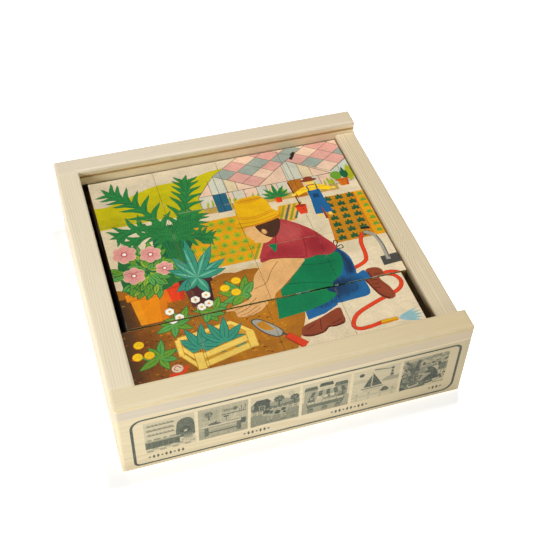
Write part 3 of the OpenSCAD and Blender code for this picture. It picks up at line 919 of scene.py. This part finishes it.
def make_block(row, column, tiles, material):
    """One cube: six printed sides that meet in the middle of its rounded edges."""
    node = f"block_r{row + 1}_c{column + 1}"
    low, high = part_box(node)
    half = BLOCK / 2
    points, triangles, colours, count = [], [], [], 0
    for side, (picture, across, up) in enumerate(SIDES):
        turn = (row * TILES + column + 5 * side) % (TILES * TILES)
        flat, faces, inks = tiles[picture][divmod(turn, TILES)]
        spots = (np.outer(flat[:, 0] * MM, across) + np.outer(flat[:, 1] * MM, up)
                 + half * np.array(across.cross(up)))
        points.append(spots)
        triangles.append(faces + count)
        colours.append(inks)
        count += len(spots)
    spots = np.concatenate(points)
    core = np.clip(spots, EDGE - half, half - EDGE)
    normals = spots - core
    normals /= np.linalg.norm(normals, axis=1)[:, None]
    piece = painted_mesh(f"picture_{node}", core + EDGE * normals, np.concatenate(triangles),
                         np.concatenate(colours), normals)
    shift = piece.data.attributes.new("shift", "FLOAT_VECTOR", "POINT")
    piece.location = (low + high) / 2
    shift.data.foreach_set("vector", np.tile(piece.location, (len(core), 1)).ravel())
    piece.data.materials.append(material)
    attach(piece, node)
    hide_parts(node)


class Graph:
    """A material's node tree, written as calls that return output sockets."""

    def __init__(self, name):
        self.material = bpy.data.materials.new(name)
        self.material.use_nodes = True
        self.tree = self.material.node_tree
        self.surface = self.tree.nodes["Principled BSDF"]
        self.place = self.add("ShaderNodeTexCoord").outputs["Object"]

    def add(self, kind, inputs=None, **settings):
        node = self.tree.nodes.new(kind)
        for key, value in settings.items():
            setattr(node, key, value)
        for key, value in (inputs or {}).items():
            self.feed(node.inputs[key], value)
        return node

    def feed(self, socket, value):
        if isinstance(value, bpy.types.NodeSocket):
            self.tree.links.new(value, socket)
        else:
            socket.default_value = value

    def math(self, operation, a, b=0.0, c=0.0):
        return self.add("ShaderNodeMath", {0: a, 1: b, 2: c}, operation=operation).outputs[0]

    def vector(self, operation, a, b):
        return self.add("ShaderNodeVectorMath", {0: a, 1: b}, operation=operation).outputs[0]

    def split(self, vector):
        return self.add("ShaderNodeSeparateXYZ", {0: vector}).outputs

    def noise(self, vector, scales, detail=2.0, roughness=0.5):
        """Noise from 0 to 1; scales is in lumps per metre, one number or one each for x, y and z."""
        if isinstance(scales, int):
            scales = (scales,) * 3
        spread = self.vector("MULTIPLY", vector, scales)
        return self.add("ShaderNodeTexNoise", {"Vector": spread, "Scale": 1.0, "Detail": detail,
                                               "Roughness": roughness}).outputs["Fac"]

    def step(self, value, low, high, out_low=0.0, out_high=1.0):
        """Goes smoothly from out_low to out_high as value goes from low to high."""
        return self.add("ShaderNodeMapRange", {"Value": value, "From Min": low, "From Max": high,
                                               "To Min": out_low, "To Max": out_high},
                        interpolation_type="SMOOTHSTEP").outputs[0]

    def mix(self, amount, a, b, blend="MIX"):
        """Mixes two colours."""
        a, b = (self.tint(c) for c in (a, b))
        node = self.add("ShaderNodeMix", {0: amount, 6: a, 7: b}, data_type="RGBA", blend_type=blend)
        return node.outputs[2]

    def tint(self, colour):
        return colour if isinstance(colour, bpy.types.NodeSocket) else (*linear(colour), 1.0)

    def scale(self, colour, amount):
        """A colour made lighter or darker by a factor."""
        factor = self.add("ShaderNodeCombineXYZ", {0: amount, 1: amount, 2: amount}).outputs[0]
        return self.vector("MULTIPLY", colour, factor)

    def varied(self, *parts):
        """A brightness about 1 that each (noise, range) pair moves up and down."""
        shade = 1.0
        for noise, span in parts:
            shade = self.math("MULTIPLY_ADD", self.math("SUBTRACT", noise, 0.5), span, shade)
        return shade

    def attribute(self, name, output):
        return self.add("ShaderNodeAttribute", attribute_name=name).outputs[output]

    def shifted(self, shift):
        return self.vector("ADD", self.place, shift)

    def finish(self, colour, roughness, height, depth):
        """Connects the surface; height is 0 to 1 and depth its real size in metres."""
        self.feed(self.surface.inputs["Base Color"], colour)
        self.feed(self.surface.inputs["Roughness"], roughness)
        bump = self.add("ShaderNodeBump", {"Strength": 1.0, "Distance": depth, "Height": height})
        self.feed(self.surface.inputs["Normal"], bump.outputs[0])
        return self.material


def edge_closeness(g, low, high, width):
    """1 on the edges of the box from low to high, falling to 0 at width inside them."""
    centre, half = (low + high) / 2, (high - low) / 2
    away = g.split(g.vector("ABSOLUTE", g.vector("SUBTRACT", g.place, tuple(centre)), (0, 0, 0)))
    gaps = [g.math("SUBTRACT", size, value) for size, value in zip(half, away)]
    a, b, c = gaps
    second = g.math("MAXIMUM", g.math("MINIMUM", a, b), g.math("MINIMUM", g.math("MAXIMUM", a, b), c))
    return g.step(second, width, 0.0)


def wood_colour(g, along, heart, ring, pale, dark, contrast=1.0, sway=9 * MM, figure=None):
    """Sawn softwood: growth rings about a swaying heart line, and fibres. Returns colour, ring and fibre.

    A figure, as (from, to, rise) along the board, pushes the rings up there, which shows as arches.
    """
    other = [axis for axis in range(3) if axis != along]
    def stretched(length, across):
        return [length if axis == along else across for axis in range(3)]
    wander = g.noise(g.place, stretched(5, 22), 3)
    ripple = g.noise(g.place, stretched(14, 120), 2)
    xyz = g.split(g.place)
    sides = [g.math("SUBTRACT", xyz[axis], heart[i]) for i, axis in enumerate(other)]
    radius = g.math("SQRT", g.math("ADD", g.math("POWER", sides[0], 2.0), g.math("POWER", sides[1], 2.0)))
    radius = g.math("MULTIPLY_ADD", wander, sway, radius)
    radius = g.math("MULTIPLY_ADD", ripple, 1.3 * MM, radius)
    if figure:
        start, end, rise = figure
        radius = g.math("ADD", radius, g.step(xyz[along], start, end, 0.0, rise))
    turn = g.math("FRACT", g.math("DIVIDE", radius, ring))
    late = g.math("MULTIPLY", g.step(turn, 0.3, 0.9), g.step(turn, 1.0, 0.93))
    fibre = g.noise(g.place, stretched(60, 2600), 3, 0.65)
    streak = g.noise(g.place, stretched(7, 260), 3, 0.6)
    hair = g.noise(g.place, stretched(16, 900), 2, 0.6)
    blotch = g.noise(g.place, stretched(9, 30), 2)
    shade = g.varied((fibre, 0.16), (streak, 0.14), (hair, 0.16), (blotch, 0.10))
    amount = g.math("MULTIPLY", late, g.step(streak, 0.2, 0.7, 0.35 * contrast, 0.85 * contrast))
    return g.scale(g.mix(amount, pale, dark), shade), late, fibre


WAVER = 1.6 * MM     # how far a zone's limits wander; on average they lie half of it lower than written


def spruce_graph(name, node, zones=(), **grain):
    """A board's wood, with zones (limits, colour, amount) of tint, painted shade and painted light.

    The limits give for each axis that counts the zone's start, end and softness in metres.
    """
    g = Graph(name)
    colour, late, fibre = wood_colour(g, **grain)
    xyz = g.split(g.place)
    for limits, tone, amount in zones:
        for axis, (start, end, soft) in limits.items():
            waver = g.math("MULTIPLY_ADD", g.noise(g.place, (9, 60, 60)), WAVER, xyz[axis])
            inside = g.math("MULTIPLY", g.step(waver, start, start + soft), g.step(waver, end + soft, end))
            amount = g.math("MULTIPLY", inside, amount)
        colour = g.mix(amount, colour, tone)
    low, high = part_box(node)
    # Paler edges: partly wear, partly a painted highlight along the boards' arrises.
    wear_and_highlight = g.math("MULTIPLY", edge_closeness(g, low, high, 2.2 * MM), g.noise(g.place, 300, 3))
    colour = g.mix(g.math("MULTIPLY", wear_and_highlight, 0.5), colour, (240, 226, 196))
    smudge = g.step(g.noise(g.place, 55, 4, 0.7), 0.58, 0.8)
    colour = g.mix(g.math("MULTIPLY", smudge, 0.12), colour, (190, 164, 126))
    rough = g.math("MULTIPLY_ADD", fibre, 0.22, g.math("MULTIPLY_ADD", late, -0.12, 0.46))
    height = g.math("MULTIPLY_ADD", late, 0.35, fibre)
    g.surface.inputs["Specular IOR Level"].default_value = 0.35
    return g, colour, rough, height


def block_print():
    """Coloured print on fine-grained wood: pencil strokes, flecks, faint grain and rubbed edges."""
    g = Graph("printed_block")
    paint = g.attribute("print", "Color")
    shift = g.attribute("shift", "Vector")
    place = g.shifted(shift)                                     # runs on from block to block
    own = g.shifted(g.vector("MULTIPLY", shift, (9, 7, 11)))     # differs from block to block
    slanted = g.add("ShaderNodeMapping", {"Vector": place, "Rotation": (0.5, 0.4, 0.7)}).outputs[0]
    strokes = g.noise(slanted, (260, 1900, 1200), 3, 0.6)
    tooth = g.noise(place, 2400, 2)
    blotch = g.noise(place, 110, 3)
    cloud = g.noise(place, 30, 3)
    fibre = g.noise(own, (60, 1500, 1500), 3, 0.65)
    shade = g.varied((strokes, 0.56), (tooth, 0.42), (blotch, 0.44), (cloud, 0.22), (fibre, 0.20))
    colour = g.scale(paint, shade)
    specks = g.step(g.noise(place, 1300, 1), 0.76, 0.82)
    colour = g.mix(g.math("MULTIPLY", specks, 0.22), colour, INKS["white"])
    half = Vector((BLOCK / 2,) * 3)
    rubbed = g.math("MULTIPLY", edge_closeness(g, -half, half, 0.7 * MM), g.step(blotch, 0.48, 0.66))
    colour = g.mix(g.math("MULTIPLY", rubbed, 0.25), colour, (196, 178, 142))
    rough = g.math("MULTIPLY_ADD", tooth, 0.2, g.math("MULTIPLY_ADD", fibre, 0.12, 0.42))
    g.surface.inputs["Specular IOR Level"].default_value = 0.14
    return g.finish(colour, rough, g.math("ADD", fibre, g.math("MULTIPLY", tooth, 0.6)), 0.02 * MM)


# The label printed on the front board, in millimetres from the middle of the board's foot
LABEL = (-88.7, 4.3, 89.8, 42.7)          # left, low, right and high middle of the border line
BORDER_SIDE, BORDER_FLAT = 1.5, 1.2       # border width on the sides, and along the top and bottom
BORDER_RADII = (2.5, 6.0, 3.5, 6.0)       # lower left, lower right, upper right, upper left
THUMB, THUMB_PITCH = 26.2, 28.0           # side and spacing of the small pictures
THUMB_AT = (-82.6, 13.2)                  # lower left corner of the first one
ORNAMENT_Z = 9.2
MARK_PITCH = 2.2                          # spacing of the marks in a row
ORNAMENTS = ((-81, 19), (-30, 14), (19, 21), (76, 7))   # left end and length of each row of marks
LABEL_INK = np.array((62, 82, 84))
BORDER_INK, MARK_INK, PAPER_INK = 0.95, 0.85, 0.12   # densities of border, marks and a picture's ground
LUMINANCE = (0.3, 0.59, 0.11)             # weights of red, green and blue
FULL_CONTRAST = 208                       # difference from the ground that prints at full density
SMALLEST = 3.0                            # mm in the picture; shapes below this are left out
FILM = 0.02 * MM                          # how far the print stands off the wood


def inked(density):
    """What a layer of label ink leaves of the wood's colour under it."""
    return 255 + np.clip(density, 0, 1)[:, None] * (LABEL_INK - 255)


def print_density(colours, ground):
    """A picture's tones in one ink: denser the more a colour's brightness differs from the ground's."""
    contrast = np.abs((colours - ground) @ LUMINANCE) / FULL_CONTRAST
    return 1 + PAPER_INK - np.clip(1 - contrast, 0, 1) ** 1.9


def border_loop(inset):
    """The border's outline, moved in by inset times its width."""
    x0, z0, x1, z1 = LABEL
    x0, x1 = x0 + inset * BORDER_SIDE, x1 - inset * BORDER_SIDE
    z0, z1 = z0 + inset * BORDER_FLAT, z1 - inset * BORDER_FLAT
    loop, steps = [], 8
    corners = ((x0, z0, 1, 1, 180), (x1, z0, -1, 1, 270), (x1, z1, -1, -1, 0), (x0, z1, 1, -1, 90))
    for (x, z, sx, sz, start), radius in zip(corners, BORDER_RADII):
        turn = radius - inset * BORDER_FLAT
        loop += [polar(x + sx * turn, z + sz * turn, start + 90 * i / steps, turn) for i in range(steps + 1)]
    return np.array(loop)


def make_label(drawings, material):
    """Border, six small pictures and rows of plain marks, as one thin layer of ink on the front board."""
    outer, inner = border_loop(-0.5), border_loop(0.5)
    count = len(outer)
    follow = np.roll(np.arange(count), -1)
    spots = [outer, inner]
    faces = [np.stack([np.arange(count), follow, follow + count], 1),
             np.stack([np.arange(count), follow + count, np.arange(count) + count], 1)]
    inks = [inked(np.full(2 * count, BORDER_INK))]
    total = 2 * count
    for i, drawing in enumerate(drawings):
        corners, triangles, colours = regions(drawing, smallest=SMALLEST)
        ground = drawing.shapes[0][1]
        spots.append(corners * THUMB / PICTURE + (THUMB_AT[0] + THUMB_PITCH * i, THUMB_AT[1]))
        faces.append(triangles + total)
        inks.append(inked(print_density(colours, INKS[ground])))
        total += len(corners)
    for left, length in ORNAMENTS:
        for i in range(int(length / MARK_PITCH) + 1):
            x, tall, wide = left + MARK_PITCH * i, 1.7 if i % 3 else 0.8, 0.8
            spots.append(np.array([(x - wide, ORNAMENT_Z), (x, ORNAMENT_Z - tall), (x + wide, ORNAMENT_Z),
                                   (x, ORNAMENT_Z + tall)]))
            faces.append(np.array([(0, 1, 2), (0, 2, 3)]) + total)
            inks.append(inked(np.full(2, MARK_INK)))
            total += 4
    flat = np.concatenate(spots) * MM
    front = np.full(len(flat), FRONT[0].y - FILM)
    points = np.stack([flat[:, 0], front, flat[:, 1]], 1)
    normals = np.tile((0.0, -1.0, 0.0), (len(flat), 1))
    piece = painted_mesh("label_print", points, np.concatenate(faces), np.concatenate(inks), normals)
    piece.data.materials.append(material)
    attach(piece, "box")


# Limits of the boards' zones, in metres
THIN = 0.6 * MM             # width of a zone's soft edge
FAR = 0.3                   # beyond the box on any side
INNER = 0.0832              # inner faces of the box
SHADE_LINE = 0.0425            # height below which the inner faces get painted shade, just under the blocks' tops
GAP_SHADE = (92, 66, 42)        # painted shade on the inner faces down there, which darkens the gaps beside the blocks
# Boards: which axis the grain follows, the tree's heart line across it, the ring width and two tones
FRONT_WOOD = dict(
    node="front_board", along=0, heart=(0.10, -0.03), ring=1.3 * MM,
    pale=(228, 212, 174), dark=(210, 184, 134),
    contrast=0.42, zones=(({2: (0.0466, 0.0532, THIN)}, (204, 192, 178), 0.6),
                          ({2: (0.0537, 0.0549, THIN)}, (232, 208, 146), 0.5),
                          # darker towards the right on the top: partly the wood's tone, partly painted shade
                          # where the light falls off
                          ({2: (0.0466, FAR, THIN), 0: (-0.10, FAR, 0.2)}, (184, 160, 114), 0.5),
                          # painted shade: the front face darker on its right half
                          ({0: (0.00, FAR, 0.1), 1: (-FAR, -0.0945, THIN), 2: (0.0, 0.0460, THIN)},
                           (176, 160, 122), 0.8),
                          # painted shade on the inner face below the blocks' tops
                          ({1: (-INNER, 0.0, THIN), 2: (0.0, SHADE_LINE, THIN)}, GAP_SHADE, 0.6)))
BOARDS = (
    FRONT_WOOD,
    dict(node="rear_board", along=0, heart=(0.26, -0.02), ring=1.4 * MM,
         pale=(226, 214, 190), dark=(204, 182, 146),
         # darker towards the right above 30 mm: partly the wood's tone, partly painted shade where the light
         # falls off
         contrast=0.65, zones=(({2: (0.0300, FAR, THIN), 0: (-0.09, FAR, 0.19)}, (198, 174, 138), 0.4),
                               # painted light: the inner face above the blocks, with its lip and groove,
                               # drawn pale as though well lit
                               ({1: (0.0790, 0.0870, THIN), 2: (0.0440, 0.0546, THIN)}, (255, 238, 200), 1.0),
                               # painted light: the inside of the groove drawn paler still, where the lip
                               # shades it
                               ({1: (0.0828, 0.0870, THIN), 2: (0.0500, 0.0526, THIN)}, (255, 232, 186), 1.0),
                               # painted shade on the inner face below the blocks' tops
                               ({1: (0.0, INNER, THIN), 2: (0.0, SHADE_LINE, THIN)}, GAP_SHADE, 0.6),
                               # painted shade: near black on the inner face's left end below the blocks'
                               # tops, in the gap by the left wall
                               ({0: (-FAR, -0.0772, THIN), 1: (0.0, INNER, THIN), 2: (0.0, 0.0452, THIN)},
                                (34, 26, 20), 1.0))),
    dict(node="left_wall", along=1, heart=(-0.30, 0.02), ring=1.5 * MM,
         pale=(230, 217, 188), dark=(212, 191, 152),
         # painted shade on the inner face below the blocks' tops
         contrast=0.6, zones=(({0: (-INNER, 0.0, THIN), 2: (0.0, SHADE_LINE, THIN)}, GAP_SHADE, 0.6),)),
    dict(node="right_wall", along=1, heart=(0.0885, 0.0475), ring=1.5 * MM, pale=(217, 201, 168),
         dark=(190, 162, 116), contrast=0.75, sway=5 * MM, figure=(-0.038, -0.012, 9 * MM),
         # painted shade on the inner face below the blocks' tops
         zones=(({0: (0.0, INNER, THIN), 2: (0.0, SHADE_LINE, THIN)}, GAP_SHADE, 0.75),)),
)


def label_material():
    """The front board's own wood, darkened by the ink's colour and thinned by its grain."""
    g, colour, rough, height = spruce_graph("label_ink", **FRONT_WOOD)
    ink = g.attribute("print", "Color")
    thin = g.step(g.noise(g.place, 1600, 2), 0.45, 0.8, 0.0, 0.25)
    colour = g.vector("MULTIPLY", colour, g.mix(thin, ink, (255, 255, 255)))
    return g.finish(colour, rough, height, 0.03 * MM)


def board_material(node, **facts):
    """A board's own wood."""
    g, colour, rough, height = spruce_graph(f"spruce_{node}", node, **facts)
    return g.finish(colour, rough, height, 0.03 * MM)


def plywood():
    """Birch face veneer, with fine grain across the box."""
    g = Graph("birch_plywood")
    colour, _, fibre = wood_colour(g, 0, (0.3, -0.4), 6 * MM, (226, 198, 154), (204, 168, 120))
    flecks = g.step(g.noise(g.place, (90, 1400, 1400), 1), 0.66, 0.74)
    colour = g.mix(g.math("MULTIPLY", flecks, 0.4), colour, (160, 118, 76))
    return g.finish(colour, g.math("MULTIPLY_ADD", fibre, 0.2, 0.5), fibre, 0.03 * MM)


def beech():
    """Turned dowel: pinkish wood with short dark flecks."""
    g = Graph("beech_dowel")
    colour, _, fibre = wood_colour(g, 1, (0.2, 0.1), 1.6 * MM, (214, 170, 124), (186, 136, 92))
    flecks = g.step(g.noise(g.place, (2400, 300, 2400), 1), 0.62, 0.7)
    colour = g.mix(g.math("MULTIPLY", flecks, 0.5), colour, (140, 92, 58))
    return g.finish(colour, g.math("MULTIPLY_ADD", fibre, 0.2, 0.45), fibre, 0.03 * MM)


FLOOR_SIDE = 90     # metres, so that its far edge is the horizon in low views


def floor_material():
    """A white light table: faintly clouded, and glowing a little of its own."""
    g = Graph("floor_table")
    cloud = g.noise(g.place, 6, 3)
    grain = g.noise(g.place, 900, 2)
    colour = g.mix(g.math("MULTIPLY", cloud, 0.5), (236, 236, 236), (230, 230, 231))
    g.surface.inputs["Emission Color"].default_value = (1, 1, 1, 1)
    g.surface.inputs["Emission Strength"].default_value = 0.68
    return g.finish(colour, g.math("MULTIPLY_ADD", grain, 0.1, 0.75), grain, 0.02 * MM)


def paint_nodes():
    for facts in BOARDS:
        set_material(facts["node"], board_material(**facts))
    set_material("bottom_panel", plywood())
    set_material("corner_dowels", beech())


def set_material(node, material):
    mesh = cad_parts[node].data
    mesh.materials.clear()
    mesh.materials.append(material)


def add_floor():
    bpy.ops.mesh.primitive_plane_add(size=FLOOR_SIDE)
    floor = bpy.context.object
    floor.name = "floor"
    floor.data.materials.append(floor_material())


def area_light(name, place, target, width, height, power):
    """A rectangular soft box that the camera doesn't see."""
    lamp = bpy.data.lights.new(name, "AREA")
    lamp.shape, lamp.size, lamp.size_y, lamp.energy = "RECTANGLE", width, height, power
    piece = bpy.data.objects.new(name, lamp)
    piece.location = place
    piece.rotation_euler = (Vector(target) - Vector(place)).to_track_quat("-Z", "Y").to_euler()
    piece.visible_camera = False
    bpy.context.scene.collection.objects.link(piece)


# Lamps: name, place, target, width and height in metres, and power in watts
LAMPS = (
    ("overhead", (0.13, 0.10, 1.0), (0, 0, 0.03), 0.09, 0.2, 8.7),
    ("front_left", (-0.68, -0.63, 0.36), (0, 0, 0.04), 0.30, 0.20, 3.0),
    ("left_strip", (-0.9, 0.1, 0.03), (0, 0, 0.03), 0.6, 0.05, 2.0),
    ("front_strip", (-0.1, -1.0, 0.13), (0, 0, 0.04), 0.9, 0.14, 1.1),
)


def light_studio():
    """The lamps, and a weak white sky."""
    world = bpy.data.worlds.new("studio")
    bpy.context.scene.world = world
    world.use_nodes = True
    world.node_tree.nodes["Background"].inputs["Color"].default_value = (1, 1, 1, 1)
    world.node_tree.nodes["Background"].inputs["Strength"].default_value = 0.01
    for lamp in LAMPS:
        area_light(*lamp)
    bpy.context.scene.view_settings.view_transform = "Standard"


# The camera, in metres: where it stands, the point it looks at, and its turn about that line
CAMERA_AT = (-0.1125, -0.3753, 0.4429)
CAMERA_TARGET = (0.0064, -0.0147, 0.045)
CAMERA_ROLL = 1.55     # degrees
CAMERA_LENS, SENSOR = 65.8, 36     # focal length and sensor width in mm


def add_camera():
    lens = bpy.data.cameras.new("camera")
    lens.lens, lens.sensor_width = CAMERA_LENS, SENSOR
    camera = bpy.data.objects.new("camera", lens)
    gaze = (Vector(CAMERA_TARGET) - Vector(CAMERA_AT)).to_track_quat("-Z", "Y").to_matrix()
    camera.matrix_world = Matrix.Translation(CAMERA_AT) @ (
        gaze @ Matrix.Rotation(math.radians(CAMERA_ROLL), 3, "Z")).to_4x4()
    lens.clip_start = 0.01
    bpy.context.scene.collection.objects.link(camera)
    bpy.context.scene.camera = camera


drawings = {name: draw() for name, draw in PICTURES.items()}
tiles = {name: cut_into_tiles(drawing) for name, drawing in drawings.items()}
printed = block_print()
for row, column in BLOCKS:
    make_block(row, column, tiles, printed)
paint_nodes()
make_label(drawings.values(), label_material())
add_floor()
light_studio()
add_camera()
